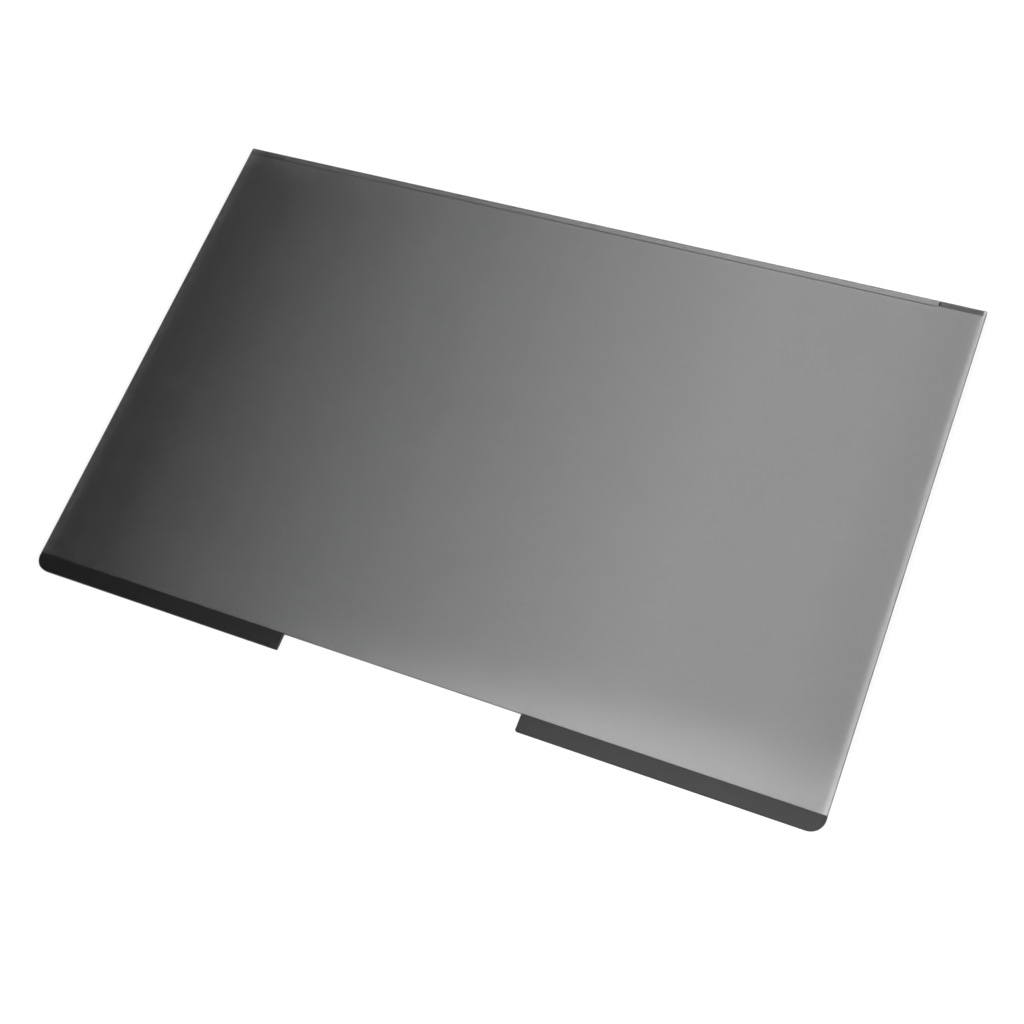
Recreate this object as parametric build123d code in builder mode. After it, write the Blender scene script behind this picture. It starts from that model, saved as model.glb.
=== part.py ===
import os

from build123d import *

# Louvred film: one laminated sheet, with an ear on each side of the gap that clears the webcam
film_width = 302.2
screen_depth = 190.0  # from the far edge to the edge of the webcam gap
film_thickness = 0.5
webcam_gap = 92.2  # clear width between the two ears
ear_depth = 6.1  # how far the ears reach past the edge of the gap
ear_outer_radius = 5.3  # rounded like the corner of a laptop lid
ear_inner_radius = 0.5
far_corner_radius = 0.6
film_edge_break = 0.1

# Strips bonded under the film, all of one thickness, so that the film lies level on them
strip_thickness = 1.0
attachment_overlap = 0.4  # how far an attachment strip runs on past the edge of the gap
edge_strip_width = 1.9
corner_pad_length = 15.8
corner_pad_width = 1.4
corner_pad_inset = 1.15  # from the right-hand side of the film
corner_pad_clearance = 0.4  # between the edge strip's end and the pad

# Places: X and Y are centred on the outline, the ears point to -Y and the strips stand on Z = 0
whole_depth = screen_depth + ear_depth
side_x = film_width / 2
near_y = -whole_depth / 2
far_y = whole_depth / 2
ear_length = (film_width - webcam_gap) / 2
ear_middle_x = (webcam_gap + ear_length) / 2
attachment_width = ear_depth + attachment_overlap
pad_end_x = side_x - corner_pad_inset
edge_strip_end_x = pad_end_x - corner_pad_length - corner_pad_clearance
edge_strip_length = side_x + edge_strip_end_x

os.makedirs("parts", exist_ok=True)

# Outline that the film and every strip under it share
with BuildSketch() as film_outline:
    Rectangle(film_width, whole_depth)
    with Locations((0, near_y)):
        Rectangle(webcam_gap, ear_depth, align=(Align.CENTER, Align.MIN), mode=Mode.SUBTRACT)
    ear_inner_corners = film_outline.vertices().group_by(Axis.Y)[0].sort_by(Axis.X)[1:-1]
    fillet(ear_inner_corners, ear_inner_radius)
    ear_ends = film_outline.vertices().group_by(Axis.Y)[0].sort_by(Axis.X)
    fillet([ear_ends[0], ear_ends[-1]], ear_outer_radius)
    fillet(film_outline.vertices().group_by(Axis.Y)[-1], far_corner_radius)

# Film, with its upper cut edge broken all round
with BuildPart() as film:
    with BuildSketch(Plane.XY.offset(strip_thickness)):
        add(film_outline.sketch)
    extrude(amount=film_thickness)
    chamfer(film.faces().sort_by(Axis.Z)[-1].edges(), film_edge_break)
film.part.label = "filter_film"
export_step(film.part, "parts/filter_film.step")

# Attachment strips, one under each ear, cut to the ear's own corners
for side, name in ((-1, "left_attachment_strip"), (1, "right_attachment_strip")):
    with BuildPart() as attachment_strip:
        with BuildSketch():
            add(film_outline.sketch)
            with Locations((side * ear_middle_x, near_y)):
                Rectangle(ear_length, attachment_width, align=(Align.CENTER, Align.MIN), mode=Mode.INTERSECT)
        extrude(amount=strip_thickness)
    attachment_strip.part.label = name
    export_step(attachment_strip.part, f"parts/{name}.step")

# Edge strip, under the far edge from the left-hand corner to the pad
with BuildPart() as edge_strip:
    with BuildSketch():
        add(film_outline.sketch)
        with Locations((-side_x, far_y)):
            Rectangle(
                edge_strip_length, edge_strip_width, align=(Align.MIN, Align.MAX), mode=Mode.INTERSECT
            )
    extrude(amount=strip_thickness)
edge_strip.part.label = "edge_strip"
export_step(edge_strip.part, "parts/edge_strip.step")

# Corner pad, in line with the edge strip at the right-hand end of the far edge
with BuildPart() as corner_pad:
    with BuildSketch():
        add(film_outline.sketch)
        with Locations((pad_end_x, far_y)):
            Rectangle(
                corner_pad_length, corner_pad_width, align=(Align.MAX, Align.MAX), mode=Mode.INTERSECT
            )
    extrude(amount=strip_thickness)
corner_pad.part.label = "corner_pad"
export_step(corner_pad.part, "parts/corner_pad.step")
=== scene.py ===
import math
from collections import namedtuple

import bmesh
import bpy
from bpy.props import FloatProperty, FloatVectorProperty, IntProperty, PointerProperty
from bpy.types import Operator, Panel, PropertyGroup
from mathutils import Matrix, Vector


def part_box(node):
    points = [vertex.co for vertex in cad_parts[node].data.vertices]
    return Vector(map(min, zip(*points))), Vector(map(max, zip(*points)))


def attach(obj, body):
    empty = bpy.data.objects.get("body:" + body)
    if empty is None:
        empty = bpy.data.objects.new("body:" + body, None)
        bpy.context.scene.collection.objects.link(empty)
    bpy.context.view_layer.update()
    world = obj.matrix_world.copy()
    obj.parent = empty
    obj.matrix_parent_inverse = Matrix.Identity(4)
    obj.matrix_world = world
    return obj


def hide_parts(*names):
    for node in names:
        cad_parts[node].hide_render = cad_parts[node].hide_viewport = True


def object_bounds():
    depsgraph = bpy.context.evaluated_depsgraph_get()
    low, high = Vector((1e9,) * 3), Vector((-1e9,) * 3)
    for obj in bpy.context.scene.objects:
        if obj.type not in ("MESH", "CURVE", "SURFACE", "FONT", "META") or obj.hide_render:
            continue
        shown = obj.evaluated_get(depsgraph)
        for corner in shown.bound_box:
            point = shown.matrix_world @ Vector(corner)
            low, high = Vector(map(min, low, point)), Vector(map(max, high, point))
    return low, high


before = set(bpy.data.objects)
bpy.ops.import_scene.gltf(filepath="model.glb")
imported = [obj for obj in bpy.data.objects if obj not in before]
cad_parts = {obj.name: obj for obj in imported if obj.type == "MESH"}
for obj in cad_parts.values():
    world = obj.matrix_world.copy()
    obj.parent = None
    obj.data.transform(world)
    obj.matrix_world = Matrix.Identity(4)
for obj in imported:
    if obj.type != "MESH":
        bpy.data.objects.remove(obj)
CAD_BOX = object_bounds()
FILM_LOW, FILM_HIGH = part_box("filter_film")

bl_info = {
    "name": "Laptop Privacy Filter",
    "version": (1, 0, 0),
    "blender": (4, 5, 0),
    "location": "View3D > Sidebar > Privacy Filter",
    "description": "Gives a louvred screen film its finish and sets up a plain studio round it",
    "category": "Object",
}

ROOT_BODY = "root"
MM = 0.001
WHITE = (1, 1, 1, 1)


# Colours and shader maths

def opaque(colour):
    """A colour property as the four numbers that a colour socket takes."""
    return (*colour, 1.0)


def shade(colour, factor):
    """A colour property made darker or lighter by a factor."""
    return (*(channel * factor for channel in colour), 1.0)


class Signal:
    """A node socket that takes part in Python sums. Each operator adds one Math node."""

    def __init__(self, board, socket):
        self.board = board
        self.socket = socket

    def math(self, operation, first, second=0.0):
        return self.board.node("ShaderNodeMath", {"operation": operation}, {0: first, 1: second})

    def __add__(self, other):
        return self.math("ADD", self, other)

    def __radd__(self, other):
        return self.math("ADD", other, self)

    def __sub__(self, other):
        return self.math("SUBTRACT", self, other)

    def __rsub__(self, other):
        return self.math("SUBTRACT", other, self)

    def __mul__(self, other):
        return self.math("MULTIPLY", self, other)

    def __rmul__(self, other):
        return self.math("MULTIPLY", other, self)

    def __pow__(self, other):
        return self.math("POWER", self, other)

    def __rpow__(self, other):
        return self.math("POWER", other, self)

    def __abs__(self):
        return self.math("ABSOLUTE", self)


class Board:
    """The node tree of one material or world, filled node by node."""

    def __init__(self, owner):
        owner.use_nodes = True
        self.tree = owner.node_tree
        self.tree.nodes.clear()

    def node(self, kind, settings=None, sockets=None, output=0):
        """Adds a node of this kind, sets it, fills its sockets with values or links and gives one output."""
        made = self.tree.nodes.new(kind)
        for name, value in (settings or {}).items():
            setattr(made, name, value)
        for name, value in (sockets or {}).items():
            if isinstance(value, Signal):
                self.tree.links.new(value.socket, made.inputs[name])
            else:
                made.inputs[name].default_value = value
        return Signal(self, made.outputs[output]) if made.outputs else None

    def step(self, value, start, end):
        """A smooth step from 0 at start to 1 at end."""
        settings = {"interpolation_type": "SMOOTHSTEP"}
        return self.node("ShaderNodeMapRange", settings, {"Value": value, "From Min": start, "From Max": end})

    def noise(self, place, size, detail=2.0, roughness=0.5):
        """Soft noise from 0 to 1 whose blotches are about this size, in metres."""
        sockets = {"Vector": place, "Scale": 1 / size, "Detail": detail, "Roughness": roughness}
        return self.node("ShaderNodeTexNoise", None, sockets, "Fac")

    def blend(self, share, first, second):
        """The colour that lies this share of the way from the first to the second."""
        return self.node("ShaderNodeMix", {"data_type": "RGBA"}, {0: share, 6: first, 7: second}, 2)

    def uneven(self, share, colour, spread):
        """A colour that runs from darker to lighter by this spread while the share runs from 0 to 1."""
        return self.blend(share, shade(colour, 1 - spread), shade(colour, 1 + spread))

    def place(self):
        """The point's place in the object's frame, in metres."""
        return self.node("ShaderNodeTexCoord", None, None, "Object")

    def axes(self, vector):
        """The three parts of a vector."""
        made = self.node("ShaderNodeSeparateXYZ", None, {"Vector": vector}).socket.node
        return [Signal(self, part) for part in made.outputs]

    def uprightness(self):
        """0 on a level face, 1 on an upright one."""
        normal = self.node("ShaderNodeNewGeometry", None, None, "True Normal")
        return 1 - abs(self.axes(normal)[2])

    def bump(self, height, strength, depth):
        """The normal of a surface with this relief."""
        sockets = {"Height": height, "Strength": strength, "Distance": depth}
        return self.node("ShaderNodeBump", None, sockets, "Normal")

    def finish(self, surface):
        """Links the shader to the material's output."""
        self.node("ShaderNodeOutputMaterial", None, {"Surface": surface})


def around(middle, spread, share):
    """A number that runs from middle - spread to middle + spread while the share runs from 0 to 1."""
    return middle - spread + 2 * spread * share


# Sizes and colours that a user would change

class FilmSettings(PropertyGroup):
    """The louvred film."""

    pitch: FloatProperty(
        name="Louvre pitch", description="Distance from one louvre to the next",
        default=0.06 * MM, unit="LENGTH", precision=6)
    height: FloatProperty(
        name="Louvre height", description="How deep the louvres stand in the film",
        default=0.1087 * MM, unit="LENGTH", precision=6)
    height_spread: FloatProperty(
        name="Height spread", description="How far louvres differ from that height, as a share of it",
        default=0.14, min=0, max=0.5, subtype="FACTOR")
    foot: FloatProperty(
        name="Louvre foot", description="Width of a louvre at its lower side",
        default=0.012 * MM, unit="LENGTH", precision=6)
    crest: FloatProperty(
        name="Louvre crest", description="Width of a louvre at its upper side",
        default=0.0012 * MM, unit="LENGTH", precision=7)
    lean: FloatProperty(
        name="Louvre lean", description="How far the louvres lean to the right",
        default=math.radians(9.8), subtype="ANGLE", unit="ROTATION")
    side_curl: FloatProperty(
        name="Side curl",
        description="How much further the louvres lean at the left-hand side, where the film curls",
        default=math.radians(2.4), subtype="ANGLE", unit="ROTATION")
    side_curl_reach: FloatProperty(
        name="Side curl reach", description="How far that reaches in from the side",
        default=5 * MM, unit="LENGTH", precision=5)
    corner_curl: FloatProperty(
        name="Corner curl", description="How much further the louvres lean at the far left-hand corner",
        default=math.radians(3.0), subtype="ANGLE", unit="ROTATION")
    corner_curl_reach: FloatVectorProperty(
        name="Corner curl reach", description="How far that reaches along the far edge and in from it",
        size=2, default=(110 * MM, 25 * MM), unit="LENGTH", precision=5)
    side_louvre: FloatProperty(
        name="Side louvre", description="Width of the upright louvre that closes the film at each side",
        default=0.16 * MM, unit="LENGTH", precision=6)
    margin: FloatProperty(
        name="Clear margin", description="Distance from the louvres to the film's cut edge",
        default=0.05 * MM, unit="LENGTH", precision=6)
    ear_corner: FloatProperty(
        name="Ear corner", description="Radius of the ears' outer corners",
        default=5.3 * MM, unit="LENGTH", precision=5)
    ear_inner_corner: FloatProperty(
        name="Ear inner corner", description="Radius of the ears' corners beside the webcam gap",
        default=0.5 * MM, unit="LENGTH", precision=5)
    far_corner: FloatProperty(
        name="Far corner", description="Radius of the two corners at the far edge",
        default=0.6 * MM, unit="LENGTH", precision=5)
    strip_overlap: FloatProperty(
        name="Strip overlap", description="How far the attachment strips run on past the webcam gap's edge",
        default=0.4 * MM, unit="LENGTH", precision=5)
    louvre_colour: FloatVectorProperty(
        name="Louvre colour", description="Black of the louvres",
        default=(0.018, 0.018, 0.018), subtype="COLOR", min=0, max=1)
    louvre_opacity: FloatProperty(
        name="Louvre opacity", description="How much of the light each face of a louvre stops",
        default=0.78, min=0, max=1, subtype="FACTOR")
    tint: FloatVectorProperty(
        name="Film tint", description="What the clear laminate lets through",
        default=(0.998, 0.998, 0.998), subtype="COLOR", min=0, max=1)
    # The cut edge's near black is partly the laminate's own dark edge and partly painted shade.
    edge_colour: FloatVectorProperty(
        name="Cut edge", description="Colour of the laminate's cut edge",
        default=(0.03, 0.03, 0.03), subtype="COLOR", min=0, max=1)
    head_on_gloss: FloatProperty(
        name="Gloss", description="Share of light that the film mirrors when seen head on",
        default=0.04, min=0, max=1, subtype="FACTOR")
    roughness: FloatProperty(
        name="Roughness", description="Roughness of the film's surface",
        default=0.16, min=0, max=1, subtype="FACTOR")


class StripSettings(PropertyGroup):
    """The strips under the film."""

    attachment_colour: FloatVectorProperty(
        name="Attachment strips", description="Dark grey of the attachment strips",
        default=(0.13, 0.13, 0.13), subtype="COLOR", min=0, max=1)
    edge_colour: FloatVectorProperty(
        name="Edge strip", description="Pale tone of the edge strip",
        default=(0.93, 0.93, 0.93), subtype="COLOR", min=0, max=1)
    pad_colour: FloatVectorProperty(
        name="Corner pad", description="Grey of the corner pad",
        default=(0.42, 0.42, 0.42), subtype="COLOR", min=0, max=1)
    pad_end_colour: FloatVectorProperty(
        name="Pad end", description="Near black of the corner pad's end next to the edge strip",
        default=(0.06, 0.06, 0.06), subtype="COLOR", min=0, max=1)
    pad_end_length: FloatProperty(
        name="Pad end length", description="Length of the corner pad's dark end",
        default=0.5 * MM, unit="LENGTH", precision=5)
    bond: FloatProperty(
        name="Bond", description="Hair of room between a strip and the film above it",
        default=0.02 * MM, unit="LENGTH", precision=6)
    edge_round: FloatProperty(
        name="Edge rounding", description="How far the strips' cut edges are softened",
        default=0.06 * MM, unit="LENGTH", precision=6)


class StageSettings(PropertyGroup):
    """Floor, light and camera."""

    floor_size: FloatProperty(
        name="Floor size", description="Side of the square floor", default=8.0, unit="LENGTH")
    floor_drop: FloatProperty(
        name="Floor drop", description="How far the floor lies below the strips",
        default=0.01 * MM, unit="LENGTH", precision=6)
    floor_colour: FloatVectorProperty(
        name="Floor colour", description="White of the floor",
        default=(0.88, 0.88, 0.88), subtype="COLOR", min=0, max=1)
    floor_lift: FloatProperty(
        name="Floor lift", description="Share of pure white mixed into the floor where nothing covers it",
        default=0.5, min=0, max=1, subtype="FACTOR")
    horizon_light: FloatProperty(
        name="Horizon light", description="Strength of the surroundings near the horizon", default=1.0, min=0)
    zenith_light: FloatProperty(
        name="Zenith light", description="Strength of the surroundings overhead", default=0.06, min=0)
    overhead_light: FloatProperty(
        name="Overhead light", description="Strength of the broad light overhead", default=1.96, min=0)
    overhead_direction: FloatVectorProperty(
        name="Overhead direction", description="Where the overhead light stands, seen from the film",
        default=(0.165, -0.2, 1.0), subtype="DIRECTION")
    overhead_spread: FloatProperty(
        name="Overhead spread", description="How wide the overhead light looks from the film",
        default=math.radians(40), subtype="ANGLE", unit="ROTATION")
    right_light: FloatProperty(
        name="Right light", description="Strength of the low light on the right", default=2.25, min=0)
    left_light: FloatProperty(
        name="Left light", description="Strength of the low light on the left", default=1.2, min=0)
    side_climb: FloatProperty(
        name="Side height", description="Height of the side lights above the horizon",
        default=math.radians(30), subtype="ANGLE", unit="ROTATION")
    side_spread: FloatProperty(
        name="Side spread", description="How wide the side lights look from the film",
        default=math.radians(34), subtype="ANGLE", unit="ROTATION")
    corner_glow: FloatProperty(
        name="Far left glow", description="Strength of the glow behind the film's far left-hand corner",
        default=0.5, min=0)
    glow_direction: FloatVectorProperty(
        name="Glow direction", description="Where that glow is brightest, seen from the film",
        default=(-0.68, 0.59, 0.42), subtype="DIRECTION")
    accent_power: FloatProperty(
        name="Accent power", description="Power of the row of spots above the near right-hand corner",
        default=17.0, min=0, unit="POWER")
    accent_place: FloatVectorProperty(
        name="Accent place", description="Middle of the row",
        default=(0.152, -0.125, 1.0), subtype="XYZ", unit="LENGTH")
    accent_reach: FloatVectorProperty(
        name="Accent reach", description="How far the pool of light reaches sideways and in depth",
        size=2, default=(0.28, 0.06), unit="LENGTH")
    accent_spots: IntProperty(
        name="Accent spots", description="Number of spots in the row", default=4, min=1)
    accent_step: FloatProperty(
        name="Accent step", description="Distance from one spot to the next",
        default=17 * MM, min=0, unit="LENGTH")
    accent_radius: FloatProperty(
        name="Accent softness", description="Radius of each spot's lamp",
        default=8 * MM, min=0, unit="LENGTH")
    aim: FloatVectorProperty(
        name="Aim", description="Point of the film that the camera looks at",
        default=(15.6 * MM, -24.0 * MM, FILM_HIGH.z), subtype="XYZ", unit="LENGTH")
    azimuth: FloatProperty(
        name="Azimuth", description="Turn of the camera about the vertical, 0 looks along +Y",
        default=math.radians(44.43), subtype="ANGLE", unit="ROTATION")
    elevation: FloatProperty(
        name="Elevation", description="Height of the camera above the horizon",
        default=math.radians(63.53), subtype="ANGLE", unit="ROTATION")
    roll: FloatProperty(
        name="Roll", description="Tilt of the picture about the line of sight",
        default=math.radians(25.0), subtype="ANGLE", unit="ROTATION")
    distance: FloatProperty(
        name="Distance", description="From the camera to the point that it looks at",
        default=537.6 * MM, unit="LENGTH")
    lens: FloatProperty(
        name="Lens", description="Focal length on a 36 mm sensor", default=53.17, min=1, unit="CAMERA")


# Film and louvre materials

SMUDGE_SIZE = 45 * MM
SMUDGE_SPREAD = 0.03  # what smudges add to the film's roughness or take from it
RIPPLE_SIZE = 28 * MM
RIPPLE_DEPTH = 0.02 * MM
RIPPLE_STRENGTH = 0.05
GRAZING_POWER = 5  # how late the gloss rises as the view turns from head on to grazing
CUT_EDGE = (0.15, 0.28)  # uprightness over which a face turns into cut edge: the edge's chamfer has 0.29
CUT_MARK_SIZE = 0.4 * MM
CUT_MARK_SPREAD = 0.3
CUT_EDGE_ROUGHNESS = 0.55
CUT_EDGE_GLOSS = 0.1
BLOTCH_SIZE = 6 * MM
BLOTCH_SPREAD = 0.2
LOUVRE_ROUGHNESS = 0.7
LOUVRE_GLOSS = 0.2
ROUGHNESS_SPREAD = 0.05  # how far the roughness of louvres, strips and pad varies either way


def film_material(film):
    """Clear glossy laminate: it mirrors a little, lets the rest through, and is dull and near black on its
    cut edge, partly the laminate's own dark edge and partly painted shade.
    """
    material = bpy.data.materials.new("film_laminate")
    board = Board(material)
    place = board.place()
    ripple = board.noise(place, RIPPLE_SIZE, detail=1)
    normal = board.bump(ripple, RIPPLE_STRENGTH, RIPPLE_DEPTH)
    smudge = board.noise(place, SMUDGE_SIZE, detail=4, roughness=0.6)
    mirror = board.node("ShaderNodeBsdfPrincipled", None, {
        "Base Color": WHITE, "Metallic": 1.0, "Roughness": around(film.roughness, SMUDGE_SPREAD, smudge),
        "Normal": normal})
    clear = board.node("ShaderNodeBsdfTransparent", None, {"Color": opaque(film.tint)})
    facing = board.node("ShaderNodeLayerWeight", None, {"Blend": 0.5, "Normal": normal}, "Facing")
    behind = board.node("ShaderNodeNewGeometry", None, None, "Backfacing")
    gloss = (film.head_on_gloss + (1 - film.head_on_gloss) * facing ** GRAZING_POWER) * (1 - behind)
    face = board.node("ShaderNodeMixShader", None, {0: gloss, 1: clear, 2: mirror})
    cut_marks = board.noise(place, CUT_MARK_SIZE)
    # Near-black cut edge: partly the laminate's own dark edge, partly painted shade.
    edge = board.node("ShaderNodeBsdfPrincipled", None, {
        "Base Color": board.uneven(cut_marks, film.edge_colour, CUT_MARK_SPREAD),
        "Roughness": CUT_EDGE_ROUGHNESS, "Specular IOR Level": CUT_EDGE_GLOSS})
    on_edge = board.step(board.uprightness(), *CUT_EDGE)
    board.finish(board.node("ShaderNodeMixShader", None, {0: on_edge, 1: face, 2: edge}))
    return material


def louvre_material(film):
    """Carbon-black louvres, a little uneven along their length."""
    material = bpy.data.materials.new("louvre_black")
    board = Board(material)
    blotch = board.noise(board.place(), BLOTCH_SIZE, detail=3)
    board.finish(board.node("ShaderNodeBsdfPrincipled", None, {
        "Base Color": board.uneven(blotch, film.louvre_colour, BLOTCH_SPREAD),
        "Roughness": around(LOUVRE_ROUGHNESS, ROUGHNESS_SPREAD, blotch),
        "Specular IOR Level": LOUVRE_GLOSS, "Alpha": film.louvre_opacity}))
    return material


# Strip and pad materials

GRAIN_SIZE = 0.6 * MM
GRAIN_DEPTH = 0.02 * MM
GRAIN_STRENGTH = 0.3
GRAIN_SHARE = 0.6  # how much of a strip's unevenness is grain, the rest is cloud
CLOUD_SIZE = 20 * MM
# The strips' upright cut sides are painted darker than their tops, as painted shade.
CUT_SIDE = (0.5, 0.9)  # uprightness over which a strip's face turns into its cut side
STRIP_GLOSS = 0.05
PAD_SPREAD = 0.1
PAD_ROUGHNESS = 0.6
PAD_END_BLUR = 0.1 * MM  # half the width over which the pad's dark end turns grey


def grained_surface(board, tone, grain, roughness):
    """A matte surface of this tone with the grain pressed into it."""
    return board.node("ShaderNodeBsdfPrincipled", None, {
        "Base Color": tone, "Roughness": around(roughness, ROUGHNESS_SPREAD, grain),
        "Specular IOR Level": STRIP_GLOSS, "Normal": board.bump(grain, GRAIN_STRENGTH, GRAIN_DEPTH)})


def strip_material(name, colour, side_shade_share, spread, roughness):
    """Matte strip, finely speckled and slightly uneven, whose upright cut sides get a darker share of its
    colour as painted shade.
    """
    material = bpy.data.materials.new(name)
    board = Board(material)
    place = board.place()
    grain = board.noise(place, GRAIN_SIZE)
    cloud = board.noise(place, CLOUD_SIZE, detail=3)
    face = board.uneven(GRAIN_SHARE * grain + (1 - GRAIN_SHARE) * cloud, colour, spread)
    painted_side_shade = board.step(board.uprightness(), *CUT_SIDE)
    # Painted shade: the upright cut sides take a darker copy of the strip's colour.
    tone = board.blend(painted_side_shade, face, shade(colour, side_shade_share))
    board.finish(grained_surface(board, tone, grain, roughness))
    return material


def corner_pad_material(strips):
    """Grey pad with a near-black end next to the edge strip."""
    material = bpy.data.materials.new("corner_pad_grey")
    board = Board(material)
    place = board.place()
    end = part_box("corner_pad")[0].x + strips.pad_end_length
    dark_end = 1 - board.step(board.axes(place)[0], end - PAD_END_BLUR, end + PAD_END_BLUR)
    grain = board.noise(place, GRAIN_SIZE)
    grey = board.uneven(grain, strips.pad_colour, PAD_SPREAD)
    tone = board.blend(dark_end, grey, opaque(strips.pad_end_colour))
    board.finish(grained_surface(board, tone, grain, PAD_ROUGHNESS))
    return material


# Film and louvres

Louvre = namedtuple("Louvre", "x foot crest height lean")  # place, widths, height and angle
GOLDEN_SHARE = (math.sqrt(5) - 1) / 2  # steps of this share of a range spread evenly over it
TWIST_SHARES = (1, 0.6, 0.35, 0.15, 0)  # of the curl's reach, where a twisting louvre's sections lie
SECTION_CORNERS = 4
LOUVRE_SIDES = ((0, 1, 5, 4), (1, 2, 6, 5), (2, 3, 7, 6), (3, 0, 4, 7))  # between two sections' corners


def louvre_row(film):
    """Every louvre in the film: slim leaning wedges between two broad upright ones."""
    side = FILM_HIGH.x - film.margin - film.side_louvre / 2
    row = [Louvre(x, film.side_louvre, film.side_louvre, film.height, 0) for x in (-side, side)]
    tallest = film.height * (1 + film.height_spread)
    widest_sway = tallest * math.tan(film.lean + film.side_curl + film.corner_curl)
    reach = side - film.side_louvre / 2 - widest_sway / 2 - film.foot
    count = int(2 * reach / film.pitch) + 1
    for index in range(count):
        x = (index - (count - 1) / 2) * film.pitch
        above_mean = 2 * (index * GOLDEN_SHARE % 1) - 1
        height = film.height * (1 + film.height_spread * above_mean)
        row.append(Louvre(x, film.foot, film.crest, height, film.lean))
    return row


def corner_cut(distance, radius):
    """How much a rounded corner takes off the outline at this distance in from the side."""
    into_corner = max(radius - distance, 0)
    return radius - math.sqrt(radius ** 2 - into_corner ** 2)


def louvre_ends(louvre, film):
    """Where a louvre starts and stops, clear of the film's cut edge and its rounded corners."""
    strip_low, strip_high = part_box("right_attachment_strip")
    half_width = (louvre.height * math.tan(louvre.lean) + louvre.foot) / 2
    from_side = FILM_HIGH.x - abs(louvre.x) - half_width
    from_gap = abs(louvre.x) - strip_low.x - half_width
    if from_gap < film.margin:
        near = strip_high.y - film.strip_overlap
    else:
        cut = corner_cut(from_side, film.ear_corner) + corner_cut(from_gap, film.ear_inner_corner)
        near = FILM_LOW.y + cut
    far = FILM_HIGH.y - corner_cut(from_side, film.far_corner)
    return near + film.margin, far - film.margin


def curl(x, y, film):
    """How much further a louvre leans here, as the film curls at its left side and its far left corner."""
    along, inward = film.corner_curl_reach
    from_side = x - FILM_LOW.x
    at_side = max(1 - from_side / film.side_curl_reach, 0)
    along_edge = max(1 - from_side / along, 0)
    near_edge = max(1 - (FILM_HIGH.y - y) / inward, 0)
    at_corner = along_edge ** 2 * (3 - 2 * along_edge) * near_edge ** 3
    return film.side_curl * at_side + film.corner_curl * at_corner


def louvre_section(louvre, y, film):
    """A louvre's four corners at this y, two at its foot and two at its crest."""
    middle = (FILM_LOW.z + FILM_HIGH.z) / 2
    low, high = middle - louvre.height / 2, middle + louvre.height / 2
    sway = louvre.height * math.tan(louvre.lean + curl(louvre.x, y, film)) if louvre.lean else 0
    x_low, x_high = louvre.x - sway / 2, louvre.x + sway / 2
    return [
        (x_low - louvre.foot / 2, y, low), (x_low + louvre.foot / 2, y, low),
        (x_high + louvre.crest / 2, y, high), (x_high - louvre.crest / 2, y, high)]


def louvre_sections(louvre, film):
    """A louvre's sections: at its ends, and between them where it twists with the film."""
    near, far = louvre_ends(louvre, film)
    along, inward = film.corner_curl_reach
    shares = TWIST_SHARES if louvre.x - FILM_LOW.x <= along else TWIST_SHARES[-1:]
    stations = [near] + [far - share * inward for share in shares]
    return [louvre_section(louvre, y, film) for y in stations]


def louvre_faces(first, sections):
    """The faces round a louvre with this many sections, the first corner of which has this number."""
    last = first + SECTION_CORNERS * (sections - 1)
    faces = []
    for start in range(first, last, SECTION_CORNERS):
        faces += [tuple(start + corner for corner in side) for side in LOUVRE_SIDES]
    near_end = tuple(range(first + SECTION_CORNERS - 1, first - 1, -1))
    far_end = tuple(range(last, last + SECTION_CORNERS))
    return faces + [near_end, far_end]


class PRIVACY_FILTER_OT_louvres(Operator):
    """Stand the louvres side by side inside the film, each a slim wedge from the near edge to the far one"""

    bl_idname = "privacy_filter.louvres"
    bl_label = "Louvres"

    def execute(self, context):
        film = context.scene.privacy_film
        points, faces = [], []
        for louvre in louvre_row(film):
            sections = louvre_sections(louvre, film)
            faces += louvre_faces(len(points), len(sections))
            points += [corner for section in sections for corner in section]
        mesh = bpy.data.meshes.new("film_louvres")
        mesh.from_pydata(points, [], faces)
        mesh.materials.append(louvre_material(film))
        if mesh.validate():
            raise RuntimeError("the louvres' mesh had faulty faces")
        louvres = bpy.data.objects.new("film_louvres", mesh)
        context.scene.collection.objects.link(louvres)
        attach(louvres, ROOT_BODY)
        return {"FINISHED"}


class PRIVACY_FILTER_OT_film(Operator):
    """Give the film its clear, slightly glossy surface"""

    bl_idname = "privacy_filter.film"
    bl_label = "Film"

    def execute(self, context):
        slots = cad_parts["filter_film"].data.materials
        slots.clear()
        slots.append(film_material(context.scene.privacy_film))
        return {"FINISHED"}


# Strips and pad

WELD_DISTANCE = 0.001 * MM
FLAT_ANGLE = math.radians(1)  # faces that meet at less are one face
SHARP_ANGLE = math.radians(60)  # edges whose faces meet at more are softened


def seat_strip(node, material, strips):
    """Draws a strip in its solid's place, its edges softened, a hair below the film so no faces coincide."""
    form = bmesh.new()
    form.from_mesh(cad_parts[node].data)
    bmesh.ops.remove_doubles(form, verts=form.verts, dist=WELD_DISTANCE)
    bmesh.ops.dissolve_limit(form, angle_limit=FLAT_ANGLE, verts=form.verts, edges=form.edges)
    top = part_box(node)[1].z
    for corner in form.verts:
        if corner.co.z > top - strips.bond:
            corner.co.z -= strips.bond
    cut_edges = [edge for edge in form.edges if edge.calc_face_angle() > SHARP_ANGLE]
    bmesh.ops.bevel(form, geom=cut_edges, offset=strips.edge_round, segments=2, profile=0.5, affect="EDGES")
    if not all(edge.is_manifold for edge in form.edges):
        raise RuntimeError(f"{node} came out with open edges")
    mesh = bpy.data.meshes.new(f"{node}_finish")
    form.to_mesh(mesh)
    form.free()
    mesh.materials.append(material)
    strip = bpy.data.objects.new(f"{node}_finish", mesh)
    bpy.context.scene.collection.objects.link(strip)
    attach(strip, ROOT_BODY)
    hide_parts(node)


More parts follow.
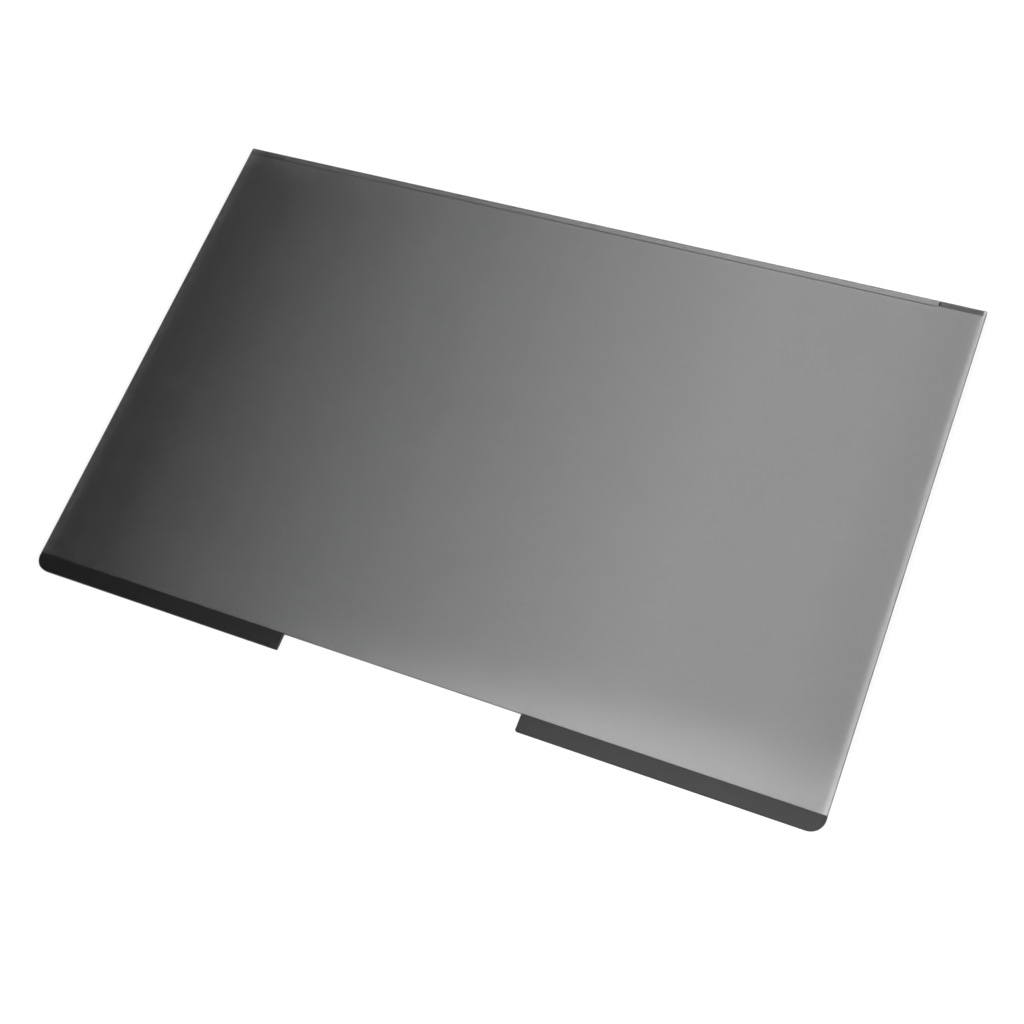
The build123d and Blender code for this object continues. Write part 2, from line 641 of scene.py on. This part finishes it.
class PRIVACY_FILTER_OT_attachment_strips(Operator):
    """Give both attachment strips their dark speckled finish"""

    bl_idname = "privacy_filter.attachment_strips"
    bl_label = "Attachment strips"

    def execute(self, context):
        strips = context.scene.privacy_strips
        # The share given for the cut sides darkens them to near black as painted shade.
        finish = strip_material(
            "attachment_strip_grey", strips.attachment_colour, side_shade_share=0.2, spread=0.08, roughness=0.6)
        for node in ("left_attachment_strip", "right_attachment_strip"):
            seat_strip(node, finish, strips)
        return {"FINISHED"}


class PRIVACY_FILTER_OT_edge_strip(Operator):
    """Give the edge strip its pale finish"""

    bl_idname = "privacy_filter.edge_strip"
    bl_label = "Edge strip"

    def execute(self, context):
        strips = context.scene.privacy_strips
        # The share given for the cut sides darkens them as painted shade along the strip's inner side.
        finish = strip_material(
            "edge_strip_pale", strips.edge_colour, side_shade_share=0.5, spread=0.05, roughness=0.5)
        seat_strip("edge_strip", finish, strips)
        return {"FINISHED"}


class PRIVACY_FILTER_OT_corner_pad(Operator):
    """Give the corner pad its grey finish"""

    bl_idname = "privacy_filter.corner_pad"
    bl_label = "Corner pad"

    def execute(self, context):
        strips = context.scene.privacy_strips
        seat_strip("corner_pad", corner_pad_material(strips), strips)
        return {"FINISHED"}


# Stage

HORIZON_BAND = (0.1, 0.3)  # rise of a direction over which the surroundings turn from bright to dim
GLOW_BAND = (0.78, 1)  # cosine of the angle to the glow's middle over which the glow rises


def floor_material(stage):
    """White floor, with a share of pure white where it is seen with nothing in between."""
    material = bpy.data.materials.new("studio_floor")
    board = Board(material)
    matte = board.node("ShaderNodeBsdfDiffuse", None, {"Color": opaque(stage.floor_colour)})
    white = board.node("ShaderNodeEmission", None, {"Color": WHITE, "Strength": 1.0})
    ray = board.node("ShaderNodeLightPath").socket.node
    names = ("Is Camera Ray", "Is Glossy Ray", "Is Transmission Ray", "Transparent Depth")
    camera, glossy, transmission, covers = [Signal(board, ray.outputs[name]) for name in names]
    seen = camera * (1 - board.step(covers, 0, 1)) + glossy + transmission
    board.finish(board.node("ShaderNodeMixShader", None, {0: stage.floor_lift * seen, 1: matte, 2: white}))
    return material


def add_floor(stage, scene):
    """The level floor, just below the strips."""
    half = stage.floor_size / 2
    level = CAD_BOX[0].z - stage.floor_drop
    corners = [(-half, -half, level), (half, -half, level), (half, half, level), (-half, half, level)]
    mesh = bpy.data.meshes.new("studio_floor")
    mesh.from_pydata(corners, [], [(0, 1, 2, 3)])
    mesh.materials.append(floor_material(stage))
    floor = bpy.data.objects.new("studio_floor", mesh)
    scene.collection.objects.link(floor)


def light_surroundings(stage, scene):
    """Soft surroundings, bright near the horizon, dim overhead, with a glow behind the far left corner."""
    world = bpy.data.worlds.new("studio_surroundings")
    scene.world = world
    board = Board(world)
    direction = board.node("ShaderNodeTexCoord", None, None, "Generated")
    climb = board.step(board.axes(direction)[2], *HORIZON_BAND)
    towards = Vector(stage.glow_direction).normalized()
    nearness = board.node(
        "ShaderNodeVectorMath", {"operation": "DOT_PRODUCT"}, {0: direction, 1: towards}, "Value")
    glow = stage.corner_glow * board.step(nearness, *GLOW_BAND)
    strength = stage.horizon_light + (stage.zenith_light - stage.horizon_light) * climb + glow
    sky = board.node("ShaderNodeBackground", None, {"Color": WHITE, "Strength": strength})
    board.node("ShaderNodeOutputWorld", None, {"Surface": sky})


def add_broad_light(scene, name, direction, strength, spread, mirrored):
    """A far, broad light that shines from this direction and is seen in glossy faces only if mirrored."""
    light = bpy.data.lights.new(name, "SUN")
    light.energy = strength
    light.angle = spread
    lamp = bpy.data.objects.new(name, light)
    lamp.rotation_euler = Vector(direction).to_track_quat("Z", "Y").to_euler()
    lamp.visible_glossy = mirrored
    scene.collection.objects.link(lamp)


def add_accent(stage, scene):
    """A short row of spots straight above the near right-hand corner, with one oval pool of light."""
    light = bpy.data.lights.new("accent_light", "SPOT")
    sideways, depth = stage.accent_reach
    light.spot_size = 2 * math.atan(sideways / stage.accent_place[2])
    light.spot_blend = 1
    light.shadow_soft_size = stage.accent_radius
    light.energy = stage.accent_power / stage.accent_spots
    for index in range(stage.accent_spots):
        lamp = bpy.data.objects.new(f"accent_light_{index + 1}", light)
        along = (index - (stage.accent_spots - 1) / 2) * stage.accent_step
        lamp.location = Vector(stage.accent_place) + Vector((along, 0, 0))
        lamp.scale = (1, depth / sideways, 1)
        scene.collection.objects.link(lamp)


def add_lights(stage, scene):
    """One broad light overhead, one low at each side, and the accent."""
    add_broad_light(
        scene, "overhead_light", stage.overhead_direction, stage.overhead_light, stage.overhead_spread,
        mirrored=True)
    for name, side in (("left_light", -1), ("right_light", 1)):
        direction = (side * math.cos(stage.side_climb), 0, math.sin(stage.side_climb))
        add_broad_light(scene, name, direction, getattr(stage, name), stage.side_spread, mirrored=False)
    add_accent(stage, scene)


def add_camera(stage, scene):
    """The camera, aimed at a point of the film and rolled about its line of sight."""
    data = bpy.data.cameras.new("camera")
    data.lens = stage.lens
    camera = bpy.data.objects.new("camera", data)
    flat = math.cos(stage.elevation)
    back = Vector((
        math.sin(stage.azimuth) * flat, -math.cos(stage.azimuth) * flat, math.sin(stage.elevation)))
    upright = (-back).to_track_quat("-Z", "Y").to_matrix()
    turned = upright @ Matrix.Rotation(-stage.roll, 3, "Z")
    camera.matrix_world = Matrix.Translation(Vector(stage.aim) + back * stage.distance) @ turned.to_4x4()
    scene.collection.objects.link(camera)
    scene.camera = camera


class PRIVACY_FILTER_OT_stage(Operator):
    """Set up the white floor, the soft light and the camera"""

    bl_idname = "privacy_filter.stage"
    bl_label = "Stage"

    def execute(self, context):
        scene = context.scene
        stage = scene.privacy_stage
        add_floor(stage, scene)
        light_surroundings(stage, scene)
        add_lights(stage, scene)
        add_camera(stage, scene)
        scene.view_settings.view_transform = "Standard"
        return {"FINISHED"}


# Sidebar and start

class PRIVACY_FILTER_PT_sidebar(Panel):
    """The filter's sizes, colours and pieces."""

    bl_label = "Privacy Filter"
    bl_idname = "PRIVACY_FILTER_PT_sidebar"
    bl_space_type = "VIEW_3D"
    bl_region_type = "UI"
    bl_category = "Privacy Filter"

    def draw(self, context):
        for operator in OPERATORS:
            self.layout.operator(operator.bl_idname)
        for name in SETTINGS:
            box = self.layout.box()
            settings = getattr(context.scene, name)
            for field in settings.__annotations__:
                box.prop(settings, field)


OPERATORS = (
    PRIVACY_FILTER_OT_film,
    PRIVACY_FILTER_OT_louvres,
    PRIVACY_FILTER_OT_attachment_strips,
    PRIVACY_FILTER_OT_edge_strip,
    PRIVACY_FILTER_OT_corner_pad,
    PRIVACY_FILTER_OT_stage,
)
SETTINGS = {"privacy_film": FilmSettings, "privacy_strips": StripSettings, "privacy_stage": StageSettings}


def register():
    for name, settings in SETTINGS.items():
        bpy.utils.register_class(settings)
        setattr(bpy.types.Scene, name, PointerProperty(type=settings))
    for operator in OPERATORS:
        bpy.utils.register_class(operator)
    bpy.utils.register_class(PRIVACY_FILTER_PT_sidebar)


def unregister():
    bpy.utils.unregister_class(PRIVACY_FILTER_PT_sidebar)
    for operator in OPERATORS:
        bpy.utils.unregister_class(operator)
    for name, settings in SETTINGS.items():
        delattr(bpy.types.Scene, name)
        bpy.utils.unregister_class(settings)


def main():
    register()
    bpy.ops.privacy_filter.film()
    bpy.ops.privacy_filter.louvres()
    bpy.ops.privacy_filter.attachment_strips()
    bpy.ops.privacy_filter.edge_strip()
    bpy.ops.privacy_filter.corner_pad()
    bpy.ops.privacy_filter.stage()


if __name__ == "__main__":
    main()
